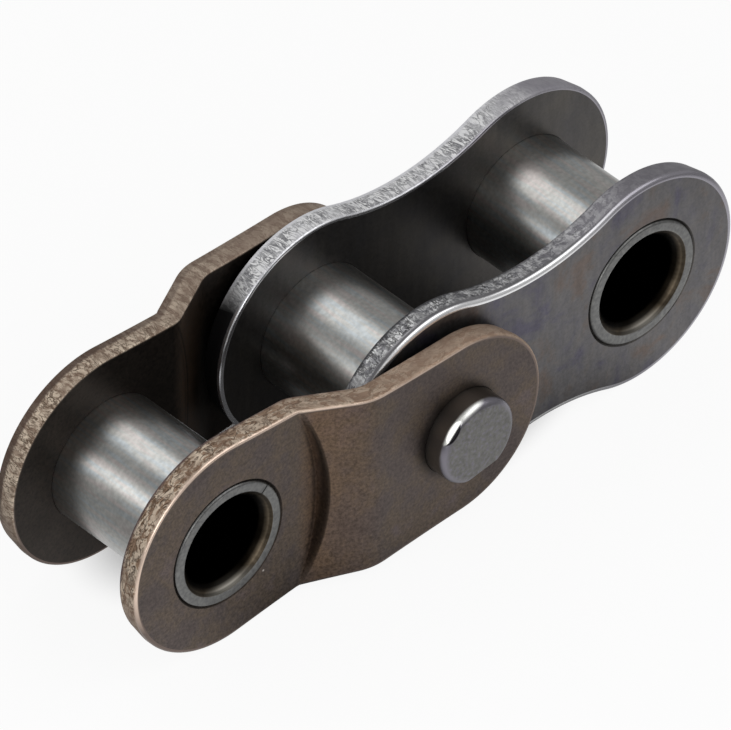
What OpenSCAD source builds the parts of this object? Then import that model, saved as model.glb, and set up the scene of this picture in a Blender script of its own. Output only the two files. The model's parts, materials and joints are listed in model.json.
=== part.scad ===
// Two-pitch offset link of a rollerless bush chain.
// A cranked link is riveted by its pin to an inner link; both swing about that pin.
// Origin: centre of the free bush of the inner link. +X along the inner link, away from
// the cranked link. Y along the pin and bushes, near side at -Y. +Z up. Millimetres.

/* [Chain] */
// Distance between neighbouring hole centres
pitch = 9.525; // [9.2:0.005:13]
// Width between the inner faces of the inner plates
inner_width = 5.12; // [3.5:0.01:8]

/* [Inner plates] */
// Thickness of an inner plate
inner_plate_t = 0.9; // [0.6:0.05:1.6]
// Radius of the rounded ends of an inner plate
inner_lobe_r = 4.25; // [3.6:0.05:4.6]
// Radius of the hollow in each long edge of an inner plate
inner_neck_r = 8.6; // [5:0.1:40]

/* [Offset plates] */
// Thickness of a cranked plate
offset_plate_t = 0.9; // [0.6:0.05:1.6]
// How much smaller the narrow-end lobe's radius is than the inner plates' lobes
narrow_lobe_trim = 0.05; // [0:0.01:0.3]
// Radius of the wide-end lobe, around the pin
wide_lobe_r = 3.65; // [2.6:0.05:4.2]
// Radius of the very shallow hollow in each long edge of a cranked plate
offset_neck_r = 110; // [20:1:300]
// Slope of the crank
crank_angle = 28; // [18:1:36]
// Bend radius at the foot of the crank, on the outer face
crank_foot_r = 0.3; // [0.1:0.05:0.6]
// Bend radius at the head of the crank, on the inner face
crank_head_r = 1.2; // [0.4:0.1:2]
// Room between the inner plate's outline and the crank that passes around it
crank_clear = 0.15; // [0.1:0.05:0.4]
// Side play between an inner plate and the wide end of a cranked plate
side_play = 0.32; // [0.1:0.01:0.6]
// Room that the relief at the foot of the crank leaves around a neighbour's lobe
relief_clear = 0.47; // [0.2:0.01:0.6]
// Radius of the relief's curved wall
relief_r = 9; // [6:0.5:14]

/* [Bushes] */
// Thickness of the strip that a bush is curled from
bush_wall = 0.72; // [0.5:0.01:0.9]
// Length of bush that stands out of each plate
bush_proud = 0.05; // [0.02:0.01:0.2]
// Chamfer on the outer edge of a bush's end
bush_outer_chamfer = 0.11; // [0.05:0.01:0.2]
// Chamfer on the inner edge of a bush's end
bush_inner_chamfer = 0.18; // [0.05:0.01:0.25]
// Width of the butt seam along a curled bush
seam_gap = 0.05; // [0.02:0.01:0.1]
// Turn of the seam on the cranked link's bush, from +X towards +Z
offset_seam_turn = 41; // [0:1:359]
// Turn of the seam on the inner link's bushes, from +X towards +Z
inner_seam_turn = 200; // [0:1:359]

/* [Pin] */
// Diameter of the pin
pin_d = 3.3; // [2.4:0.05:3.8]
// Running clearance of the pin in its bush, on the radius
pin_clear = 0.03; // [0.01:0.01:0.1]
// Length of pin that stands out of each cranked plate
pin_proud = 0.93; // [0.4:0.01:1.5]
// Chamfer around the pin's ends
pin_chamfer = 0.16; // [0.05:0.01:0.3]
// Distance from the pin's axis to the flat under its near end
pin_flat_dist = 1.42; // [1.2:0.01:1.6]
// Turn of that flat from the pitch line
pin_flat_turn = 7; // [-20:1:20]
// Turn of the stake mark on the pin's near end, from +X towards +Z
stake_turn = 135; // [0:1:359]
// Depth of the stake mark, inwards from the pin's edge
stake_depth = 0.15; // [0.05:0.01:0.4]
// Length of the stake mark along the pin
stake_length = 0.22; // [0.05:0.01:0.4]

/* [Hidden] */
$fn = 96;
// Distances from the middle plane, outwards
inner_in_y = inner_width / 2;
inner_out_y = inner_in_y + inner_plate_t;
narrow_in_y = inner_in_y;
narrow_out_y = narrow_in_y + offset_plate_t;
wide_in_y = inner_out_y + side_play;
wide_out_y = wide_in_y + offset_plate_t;
pin_end_y = wide_out_y + pin_proud;
inner_bush_y = inner_out_y + bush_proud;
offset_bush_y = narrow_out_y + bush_proud;

pin_r = pin_d / 2;
bore_r = pin_r + pin_clear;
bush_r = bore_r + bush_wall;

// The crank's inner face, from the start of its head bend down to the inner plate's outer face
crank_sin = sin(crank_angle);
crank_cos = cos(crank_angle);
crank_tan = tan(crank_angle);
head_drop = crank_head_r * (1 - crank_cos);
head_reach = crank_head_r * crank_sin + (side_play - head_drop) / crank_tan;
// Crank places along X, from the pin, in the cranked link's own frame
head_x = head_reach - inner_lobe_r - crank_clear;
bend_sum = crank_foot_r + offset_plate_t + crank_head_r;
crank_rise = wide_in_y - narrow_in_y;
slope_x = (crank_rise - bend_sum * (1 - crank_cos)) / crank_tan;
foot_x = head_x - bend_sum * crank_sin - slope_x;
relief_x = wide_lobe_r + relief_clear - pitch;

// At rest the narrow lobe lies on the same surface as the inner lobes
narrow_lobe_r = inner_lobe_r - narrow_lobe_trim;
rest_sag = asin(narrow_lobe_trim / pitch);
// Reach of a cutting shape past what it cuts
over = 1;
// Depth by which a hollow bites into the lobes that it meets
neck_bite = 0.002;
// Steps along each bend of the crank
bend_steps = 8;

// Places its children, drawn around the pin with the pin's axis along Y
module at_pin() { translate([-pitch, 0, 0]) children(); }

// Places a piece of the cranked link, drawn with its pin end at the origin
module on_offset_link() { at_pin() rotate([0, -rest_sag, 0]) children(); }

// Stands a flat X-Z drawing up between two distances from the middle plane
module slab(y_from, y_to) {
    translate([0, y_to, 0]) rotate([90, 0, 0]) linear_extrude(y_to - y_from) children();
}

// Round bar along Y between two distances from the middle plane
module bar(r, y_from, y_to) {
    translate([0, y_from, 0]) rotate([-90, 0, 0]) cylinder(r = r, h = y_to - y_from);
}

// Plate outline: a lobe at the origin, a lobe one pitch along -X, and hollow long edges.
// A diamond between the lobes' and the hollows' centres fills the middle, because its sides
// cross the outline where lobe and hollow meet.
module link_outline(r_here, r_there, neck_r) {
    here = r_here + neck_r;
    there = r_there + neck_r;
    neck_x = -(here * here - there * there + pitch * pitch) / (2 * pitch);
    neck_z = sqrt(here * here - neck_x * neck_x);
    difference() {
        union() {
            circle(r_here);
            translate([-pitch, 0]) circle(r_there);
            polygon([[0, 0], [neck_x, neck_z], [-pitch, 0], [neck_x, -neck_z]]);
        }
        for (side = [-1, 1])
            translate([neck_x, side * neck_z]) circle(neck_r + neck_bite, $fn = 4 * $fn);
    }
}

// Points along an arc, in equal steps
function arc(centre, r, from_turn, to_turn) = [
    for (i = [0:bend_steps]) let (turn = from_turn + (to_turn - from_turn) * i / bend_steps)
        centre + r * [cos(turn), sin(turn)]
];

// Crank of the far plate seen from above: outer face towards +X, then inner face back
module crank_profile() {
    narrow_end_x = -pitch - narrow_lobe_r - over;
    wide_end_x = wide_lobe_r + over;
    foot = [foot_x, narrow_out_y + crank_foot_r];
    head = [head_x, wide_in_y - crank_head_r];
    polygon(concat(
        [[narrow_end_x, narrow_out_y]],
        arc(foot, crank_foot_r, -90, crank_angle - 90),
        arc(head, crank_head_r + offset_plate_t, crank_angle + 90, 90),
        [[wide_end_x, wide_out_y], [wide_end_x, wide_in_y]],
        arc(head, crank_head_r, 90, crank_angle + 90),
        arc(foot, crank_foot_r + offset_plate_t, crank_angle - 90, -90),
        [[narrow_end_x, narrow_in_y]]
    ));
}

// Cranked plate on the far side, with the pin's hole at the origin
module offset_plate() {
    half_z = narrow_lobe_r + over;
    difference() {
        intersection() {
            translate([0, 0, -half_z]) linear_extrude(2 * half_z) crank_profile();
            slab(narrow_in_y - over, wide_out_y + over)
                link_outline(wide_lobe_r, narrow_lobe_r, offset_neck_r);
        }
        bar(pin_r, wide_in_y - over, wide_out_y + over);
        translate([-pitch, 0, 0]) bar(bush_r, narrow_in_y - over, wide_out_y + over);
        translate([relief_x - relief_r, 0, 0]) bar(relief_r, narrow_out_y, wide_out_y + over);
    }
}

// Flat inner plate on the far side, with the free bush's hole at the origin
module inner_plate() {
    difference() {
        slab(inner_in_y, inner_out_y) link_outline(inner_lobe_r, inner_lobe_r, inner_neck_r);
        for (x = [0, -pitch])
            translate([x, 0, 0]) bar(bush_r, inner_in_y - over, inner_out_y + over);
    }
}

// Bush curled from strip, with chamfered ends and a butt seam along it
module bush(half_length, seam_turn) {
    outer = bush_outer_chamfer;
    inner = bush_inner_chamfer;
    rotate([-90, 0, 0]) difference() {
        rotate_extrude() polygon([
            [bore_r + inner, -half_length], [bush_r - outer, -half_length],
            [bush_r, -half_length + outer], [bush_r, half_length - outer],
            [bush_r - outer, half_length], [bore_r + inner, half_length],
            [bore_r, half_length - inner], [bore_r, -half_length + inner]
        ]);
        rotate([0, 0, -seam_turn]) translate([0, -seam_gap / 2, -half_length - over])
            cube([bush_r + over, seam_gap, 2 * (half_length + over)]);
    }
}

// Riveted pin: chamfered ends, and on the near end a flat below and a stake mark
module pin_body() {
    difference() {
        rotate([-90, 0, 0]) rotate_extrude() polygon([
            [0, -pin_end_y], [pin_r - pin_chamfer, -pin_end_y],
            [pin_r, -pin_end_y + pin_chamfer], [pin_r, pin_end_y - pin_chamfer],
            [pin_r - pin_chamfer, pin_end_y], [0, pin_end_y]
        ]);
        rotate([0, -pin_flat_turn, 0])
            translate([-pin_d, -pin_end_y - over, -pin_flat_dist - pin_d])
                cube([2 * pin_d, pin_proud + over, pin_d]);
        rotate([0, -stake_turn, 0])
            translate([pin_r - stake_depth, -pin_end_y - over, -pin_r])
                cube([pin_r, stake_length + over, pin_d]);
    }
}

module near_inner_plate() { color("#6A686C") mirror([0, 1, 0]) inner_plate(); }
module far_inner_plate() { color("#6A686C") inner_plate(); }
module middle_bush() { color("#7D807D") at_pin() bush(inner_bush_y, inner_seam_turn); }
module end_bush() { color("#7D807D") bush(inner_bush_y, inner_seam_turn); }
module near_offset_plate() {
    color("#544C48") on_offset_link() mirror([0, 1, 0]) offset_plate();
}
module far_offset_plate() { color("#544C48") on_offset_link() offset_plate(); }
module offset_bush() {
    color("#7D807D") on_offset_link() translate([-pitch, 0, 0])
        bush(offset_bush_y, offset_seam_turn);
}
module link_pin() { color("#696864") on_offset_link() pin_body(); }

near_inner_plate();
far_inner_plate();
middle_bush();
end_bush();
near_offset_plate();
far_offset_plate();
offset_bush();
link_pin();
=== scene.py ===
import json
import math

import bmesh
import bpy
from mathutils import Matrix, Vector
from mathutils.geometry import delaunay_2d_cdt


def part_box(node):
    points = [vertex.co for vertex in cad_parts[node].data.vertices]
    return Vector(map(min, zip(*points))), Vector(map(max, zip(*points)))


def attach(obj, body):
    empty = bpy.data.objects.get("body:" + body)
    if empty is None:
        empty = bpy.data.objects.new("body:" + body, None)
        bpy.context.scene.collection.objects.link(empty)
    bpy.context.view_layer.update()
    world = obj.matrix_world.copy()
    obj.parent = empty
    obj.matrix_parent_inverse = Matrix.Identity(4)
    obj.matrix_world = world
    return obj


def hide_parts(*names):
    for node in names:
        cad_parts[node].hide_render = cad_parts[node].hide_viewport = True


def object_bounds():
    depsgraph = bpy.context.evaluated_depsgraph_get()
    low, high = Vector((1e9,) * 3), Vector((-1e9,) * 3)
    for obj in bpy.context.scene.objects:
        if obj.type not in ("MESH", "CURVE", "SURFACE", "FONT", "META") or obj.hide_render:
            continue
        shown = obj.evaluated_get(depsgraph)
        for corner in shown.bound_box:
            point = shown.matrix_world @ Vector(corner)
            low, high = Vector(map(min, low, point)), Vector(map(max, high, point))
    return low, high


# two-pitch offset link: a cranked link riveted to an inner link of a rollerless bush chain
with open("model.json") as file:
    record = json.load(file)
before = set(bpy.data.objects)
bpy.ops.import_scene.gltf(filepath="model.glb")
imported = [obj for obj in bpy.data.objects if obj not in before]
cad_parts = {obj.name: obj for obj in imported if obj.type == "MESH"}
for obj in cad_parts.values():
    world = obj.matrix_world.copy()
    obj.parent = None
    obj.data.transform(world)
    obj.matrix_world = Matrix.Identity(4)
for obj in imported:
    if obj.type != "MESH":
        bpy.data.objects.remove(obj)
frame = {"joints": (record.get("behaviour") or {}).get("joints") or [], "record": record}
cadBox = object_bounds()
mm = 0.001
print("frame loaded")

# measures that the frame gives, in mm
mounts = {mount["name"]: mount for mount in frame["record"]["mounts"]}
pinPlace = Vector(frame["joints"][0]["pos_m"]) / mm
pitch = -pinPlace.x
boreRadius = mounts["end_bush_bore"]["dims"]["r_mm"]
restSag = math.asin(-mounts["offset_bush_bore"]["pos_m"][2] / mm / pitch)
innerLow, innerHigh = (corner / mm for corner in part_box("far_inner_plate"))
offsetLow, offsetHigh = (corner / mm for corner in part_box("far_offset_plate"))
bushLow, bushHigh = (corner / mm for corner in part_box("end_bush"))
pinLow, pinHigh = (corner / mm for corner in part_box("link_pin"))
bushRadius = round(bushHigh.x, 2)
pinRadius = round((pinHigh.x - pinLow.x) / 2, 2)
onPin = Matrix.Translation((-pitch, 0, 0))
onOffsetLink = onPin @ Matrix.Rotation(-restSag, 4, "Y")
onEndBush = Matrix.Identity(4)


# small helpers

def linear(hexColour):
    # sRGB hex to the linear colour that a shader takes
    parts = [int(hexColour[i:i + 2], 16) / 255 for i in (1, 3, 5)]
    return [p / 12.92 if p <= 0.04045 else ((p + 0.055) / 1.055) ** 2.4 for p in parts] + [1.0]


def addNode(tree, kind, inputs=None, stops=None, **settings):
    # one shader node: settings on the node, values or links on its sockets, stops on its ramp
    node = tree.nodes.new("ShaderNode" + kind)
    for name, value in settings.items():
        setattr(node, name, value)
    if stops:
        ramp = node.color_ramp.elements
        while len(ramp) < len(stops):
            ramp.new(1.0)
        for element, (place, colour) in zip(ramp, stops):
            element.position = place
            element.color = linear(colour) if isinstance(colour, str) else [colour] * 3 + [1.0]
    for key, value in (inputs or {}).items():
        if isinstance(value, bpy.types.NodeSocket):
            tree.links.new(value, node.inputs[key])
        else:
            node.inputs[key].default_value = value
    return node


def addMaterial(name, metallic):
    # an empty node material with its shader, coordinates in mm, and the rim's own unrolled coordinates in mm
    material = bpy.data.materials.new(name)
    material.use_nodes = True
    tree = material.node_tree
    shader = tree.nodes["Principled BSDF"]
    shader.inputs["Metallic"].default_value = metallic
    spot = addNode(tree, "TexCoord")
    inMm = addNode(tree, "Mapping", {"Vector": spot.outputs["Object"], "Scale": [1 / mm] * 3})
    return material, tree, shader, inMm.outputs["Vector"], spot.outputs["UV"]


def wire(tree, shader, **links):
    # links finished values to the shader's sockets, underscores standing for blanks
    for name, socket in links.items():
        tree.links.new(socket, shader.inputs[name.replace("_", " ")])


def addPiece(name, points, faces, materials, slots, place, unrolled=None, around=0.0):
    # points in mm, one material number per face; unrolled gives each point its (along, across) on the rim
    mesh = bpy.data.meshes.new(name)
    mesh.from_pydata([(place @ Vector(p)) * mm for p in points], [], faces)
    for material in materials:
        mesh.materials.append(material)
    mesh.polygons.foreach_set("material_index", slots)
    shaped = bmesh.new()
    shaped.from_mesh(mesh)
    bmesh.ops.recalc_face_normals(shaped, faces=shaped.faces)
    shaped.to_mesh(mesh)
    shaped.free()
    mesh.shade_smooth()
    mesh.set_sharp_from_angle(angle=math.radians(32))
    if unrolled:
        layer = mesh.uv_layers.new(name="rim")
        for polygon in mesh.polygons:
            spread = [unrolled[v] for v in polygon.vertices]
            wraps = max(s[0] for s in spread) - min(s[0] for s in spread) > around / 2
            for loop, (along, across) in zip(polygon.loop_indices, spread):
                layer.data[loop].uv = (along + around if wraps and along < around / 2 else along, across)
    piece = bpy.data.objects.new(name, mesh)
    bpy.context.scene.collection.objects.link(piece)
    return piece


def carry(piece, node, body):
    # the piece stands for a CAD node and moves with its body
    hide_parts(node)
    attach(piece, body)


# materials of the plates' faces

brownFace = {
    "outside": [(0.32, "#605552"), (0.44, "#6B605C"), (0.55, "#736559"), (0.68, "#786B6A")],
    # the inside is a darker copy of the outside: painted shade between the plates
    "inside": [(0.30, "#3B342F"), (0.70, "#4B433D")],
    "slope": "#8E7158",        # the bent slope is browner
    "slopeFrom": -16.2,        # mm along X, where the slope starts and ends
    "slopeTo": -12.6,
    "patch": 2.2,              # mm, width of a brown or grey patch
    "grain": 0.12,             # mm, tumbled grain; the real one is finer, drawn as coarse as it needs to show
    "speck": 6.5,              # mm between tiny bright nicks
    "roughness": (0.38, 0.54),
    "reliefAt": -23.93,        # mm along X, axis of the relief's curved wall
    "reliefRadius": 9.0,
    "pinShade": (-9.70, 0.12), # mm along X and Z, middle of the painted shadow around the pin, which lies up and left of it
}


def makeBrownFace(name, hues):
    # hardened steel, heat-browned and tumbled: a dull taupe skin, cloudy brown and grey, faintly grained
    look = brownFace
    material, tree, shader, spot, rim = addMaterial(name, 0.92)
    cloud = addNode(tree, "TexNoise", {"Vector": spot, "Scale": 1 / look["patch"], "Detail": 6.0,
                                       "Roughness": 0.66})
    hue = addNode(tree, "ValToRGB", {"Fac": cloud.outputs["Fac"]}, stops=hues)
    places = addNode(tree, "SeparateXYZ", {"Vector": spot})
    along = addNode(tree, "MapRange", {"Value": places.outputs["X"], "From Min": look["slopeFrom"],
                                       "From Max": look["slopeTo"]})
    bent = addNode(tree, "ValToRGB", {"Fac": along.outputs["Result"]},
                   stops=[(0.08, 0.0), (0.24, 1.0), (0.45, 0.7), (0.85, 0.0)])
    uneven = addNode(tree, "Math", {0: bent.outputs["Color"], 1: cloud.outputs["Fac"]}, operation="MULTIPLY")
    browner = addNode(tree, "Mix", {0: uneven.outputs[0], 6: hue.outputs["Color"],
                                    7: linear(look["slope"])}, data_type="RGBA")
    grain = addNode(tree, "TexNoise", {"Vector": spot, "Scale": 1 / look["grain"], "Detail": 3.0,
                                       "Roughness": 0.7})
    fleck = addNode(tree, "ValToRGB", {"Fac": grain.outputs["Fac"]}, stops=[(0.28, 0.36), (0.72, 1.0)])
    colour = addNode(tree, "Mix", {0: 1.0, 6: browner.outputs[2], 7: fleck.outputs["Color"]},
                     data_type="RGBA", blend_type="MULTIPLY")
    side = addNode(tree, "CombineXYZ", {"X": places.outputs["X"], "Y": places.outputs["Z"]})
    # painted shade in the relief's corner, deepest in the middle where its wall is highest, and a painted shadow around
    # the pin
    tall = addNode(tree, "MapRange", {"Value": places.outputs["X"], "From Min": look["slopeFrom"] + 0.1,
                                      "From Max": look["slopeFrom"] + 0.9})
    for centre, low, high, tones, depth in (
            ((look["reliefAt"], 0, 0), look["reliefRadius"] - 0.3, look["reliefRadius"] + 0.4,
             [(0.0, 1.0), (0.20, 0.55), (0.29, 1.0), (0.37, 1.0), (0.41, 0.3), (0.50, 0.3), (0.56, 1.0)],
             tall.outputs["Result"]),
            ((*look["pinShade"], 0), 1.45, 2.05, [(0.0, 0.15), (0.3, 0.35), (0.7, 0.8), (1.0, 1.0)], 1.0)):
        reach = addNode(tree, "VectorMath", {0: side.outputs["Vector"], 1: centre}, operation="DISTANCE")
        apart = addNode(tree, "MapRange", {"Value": reach.outputs["Value"], "From Min": low, "From Max": high})
        tone = addNode(tree, "ValToRGB", {"Fac": apart.outputs["Result"]}, stops=tones)
        colour = addNode(tree, "Mix", {0: depth, 6: colour.outputs[2], 7: tone.outputs["Color"]},
                         data_type="RGBA", blend_type="MULTIPLY")
    dots = addNode(tree, "TexVoronoi", {"Vector": side.outputs["Vector"], "Scale": 1 / look["speck"]},
                   voronoi_dimensions="2D")
    nick = addNode(tree, "MapRange", {"Value": dots.outputs["Distance"], "From Min": 0.004,
                                      "From Max": 0.008, "To Min": 0.8, "To Max": 0.0})
    nicked = addNode(tree, "Mix", {0: nick.outputs["Result"], 6: colour.outputs[2], 7: linear("#D9D3CC")},
                     data_type="RGBA")
    low, high = look["roughness"]
    rough = addNode(tree, "MapRange", {"Value": grain.outputs["Fac"], "From Min": 0.3, "From Max": 0.7,
                                       "To Min": low, "To Max": high})
    bump = addNode(tree, "Bump", {"Height": grain.outputs["Fac"], "Strength": 0.3, "Distance": 0.01 * mm})
    wire(tree, shader, Base_Color=nicked.outputs[2], Roughness=rough.outputs["Result"],
         Normal=bump.outputs["Normal"])
    return material


greyFace = {
    "outside": [(0.34, "#676472"), (0.45, "#747275"), (0.55, "#787575"), (0.66, "#7B6F69")],
    # the inside is a darker copy of the outside: painted shade between the plates
    "inside": [(0.30, "#565455"), (0.70, "#65615C")],
    "patch": 1.8,              # mm, width of a blue, purple or brown temper patch
    "streak": 0.22,            # mm, rolling lines down the plate
    "grain": 0.11,             # mm, tumbled grain, drawn coarser than the real one so that it shows
    "roughness": (0.32, 0.46),
}


def makeGreyFace(name, hues):
    # hardened steel, tempered and tumbled: satin grey with faint blue, purple and brown temper clouds
    look = greyFace
    material, tree, shader, spot, rim = addMaterial(name, 0.95)
    cloud = addNode(tree, "TexNoise", {"Vector": spot, "Scale": 1 / look["patch"], "Detail": 5.0,
                                       "Roughness": 0.62, "Distortion": 0.5})
    hue = addNode(tree, "ValToRGB", {"Fac": cloud.outputs["Fac"]}, stops=hues)
    drawn = addNode(tree, "Mapping", {"Vector": spot, "Scale": (1 / look["streak"], 1, 0.9)})
    streak = addNode(tree, "TexNoise", {"Vector": drawn.outputs["Vector"], "Scale": 1.0, "Detail": 4.0})
    line = addNode(tree, "ValToRGB", {"Fac": streak.outputs["Fac"]}, stops=[(0.3, 0.82), (0.7, 1.0)])
    lined = addNode(tree, "Mix", {0: 1.0, 6: hue.outputs["Color"], 7: line.outputs["Color"]},
                    data_type="RGBA", blend_type="MULTIPLY")
    grain = addNode(tree, "TexNoise", {"Vector": spot, "Scale": 1 / look["grain"], "Detail": 3.0,
                                       "Roughness": 0.7})
    fleck = addNode(tree, "ValToRGB", {"Fac": grain.outputs["Fac"]}, stops=[(0.25, 0.60), (0.75, 1.0)])
    colour = addNode(tree, "Mix", {0: 1.0, 6: lined.outputs[2], 7: fleck.outputs["Color"]},
                     data_type="RGBA", blend_type="MULTIPLY")
    low, high = look["roughness"]
    rough = addNode(tree, "MapRange", {"Value": grain.outputs["Fac"], "From Min": 0.3, "From Max": 0.7,
                                       "To Min": low, "To Max": high})
    bump = addNode(tree, "Bump", {"Height": grain.outputs["Fac"], "Strength": 0.25, "Distance": 0.008 * mm})
    wire(tree, shader, Base_Color=colour.outputs[2], Roughness=rough.outputs["Result"],
         Normal=bump.outputs["Normal"])
    return material


# materials of the sheared rims

brownRim = {
    "torn": [(0.35, "#8F7562"), (0.65, "#BEA48C")],
    "pale": "#EBDCC9",
    "pit": "#4E3C2E",
    "front": "#F0D8C6",        # smooth band that the punch left beside the front face, painted pale partly as a highlight
    "frontWide": 0.22,         # mm
    "plain": "#6E6059",        # what that band fades to where its painted highlight ends
    "plainAlong": (-9.6, -7.8),
    "brink": "#352C28",        # thin line between that band and the face
    "brinkWide": 0.03,         # mm
    "back": "#6B5A5A",         # rounded edge at the back
    "backWide": 0.14,
    "calm": "#B49C8A",         # smoother colour towards one end of the plate
    "calmAlong": (-19.5, -11.0),  # mm along X
    "calmMost": 0.72,
    "shade": "#77665A",        # painted shade: plainer, darker low part, below the torn lobe
    "shadeAxis": "Z",
    "shadeAlong": (0.2, -1.8),
    "flakeSize": (0.46, 0.30), # mm along the rim and through the plate
    "flakeLine": 0.020,        # how softly the pale patches end
    "pitSize": (0.52, 0.30),
    "pitLine": 0.036,
    "twist": 1.0,
    "roughness": (0.32, 0.62),
}
farBrownRim = dict(brownRim, torn=[(0.35, "#917B6B"), (0.65, "#C8B6A4")], calm="#9A887B", front="#E2D0C0",
                   frontWide=0.07, back="#66544B", backWide=0.36, flakeSize=(0.20, 0.60), flakeLine=0.030,
                   pit="#5F4B3A", pitSize=(0.22, 0.50), pitLine=0.030, twist=0.4)
brightRim = {
    "torn": [(0.35, "#F0F0F2"), (0.65, "#FFFFFF")],
    "pale": "#FFFFFF",
    "pit": "#808085",
    # the front band is the punch's smooth band, painted near white partly as a highlight
    "front": "#ECECF0",
    "frontWide": 0.20,
    "plain": "#A19EA6",
    "plainAlong": (-6.0, -2.0),
    "brink": None,
    "back": "#F2F2F5",
    "backWide": 0.20,
    "calm": "#A19EA6",
    "calmAlong": (-1.8, 1.0),
    "calmMost": 0.92,
    "shade": "#2E2D2E",        # painted shade at the end beside the cranked plate
    "shadeAxis": "X",
    "shadeAlong": (-12.35, -13.0),
    "flakeSize": (0.18, 0.50),
    "flakeLine": 0.03,
    "pitSize": (0.17, 0.60),
    "pitLine": 0.055,
    "twist": 0.8,
    "roughness": (0.26, 0.75),
}
# on the near inner plate the front band is dull and its brink is a painted highlight, a white line along the rolled
# edge
dullRim = dict(brightRim, torn=[(0.35, "#77777B"), (0.65, "#C6C6CA")], pit="#333335", back="#4A4A4D",
               backWide=0.16, roughness=(0.26, 0.5), calm="#8E8B92", calmAlong=(-7.0, 0.0),
               plainAlong=(-3.5, -0.5), front="#8E8D90", frontWide=0.42, brink="#FDFDFE", brinkWide=0.21, flakeSize=(0.34, 0.26), flakeLine=0.020,
               pitSize=(0.2, 0.5), twist=0.8)


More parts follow.
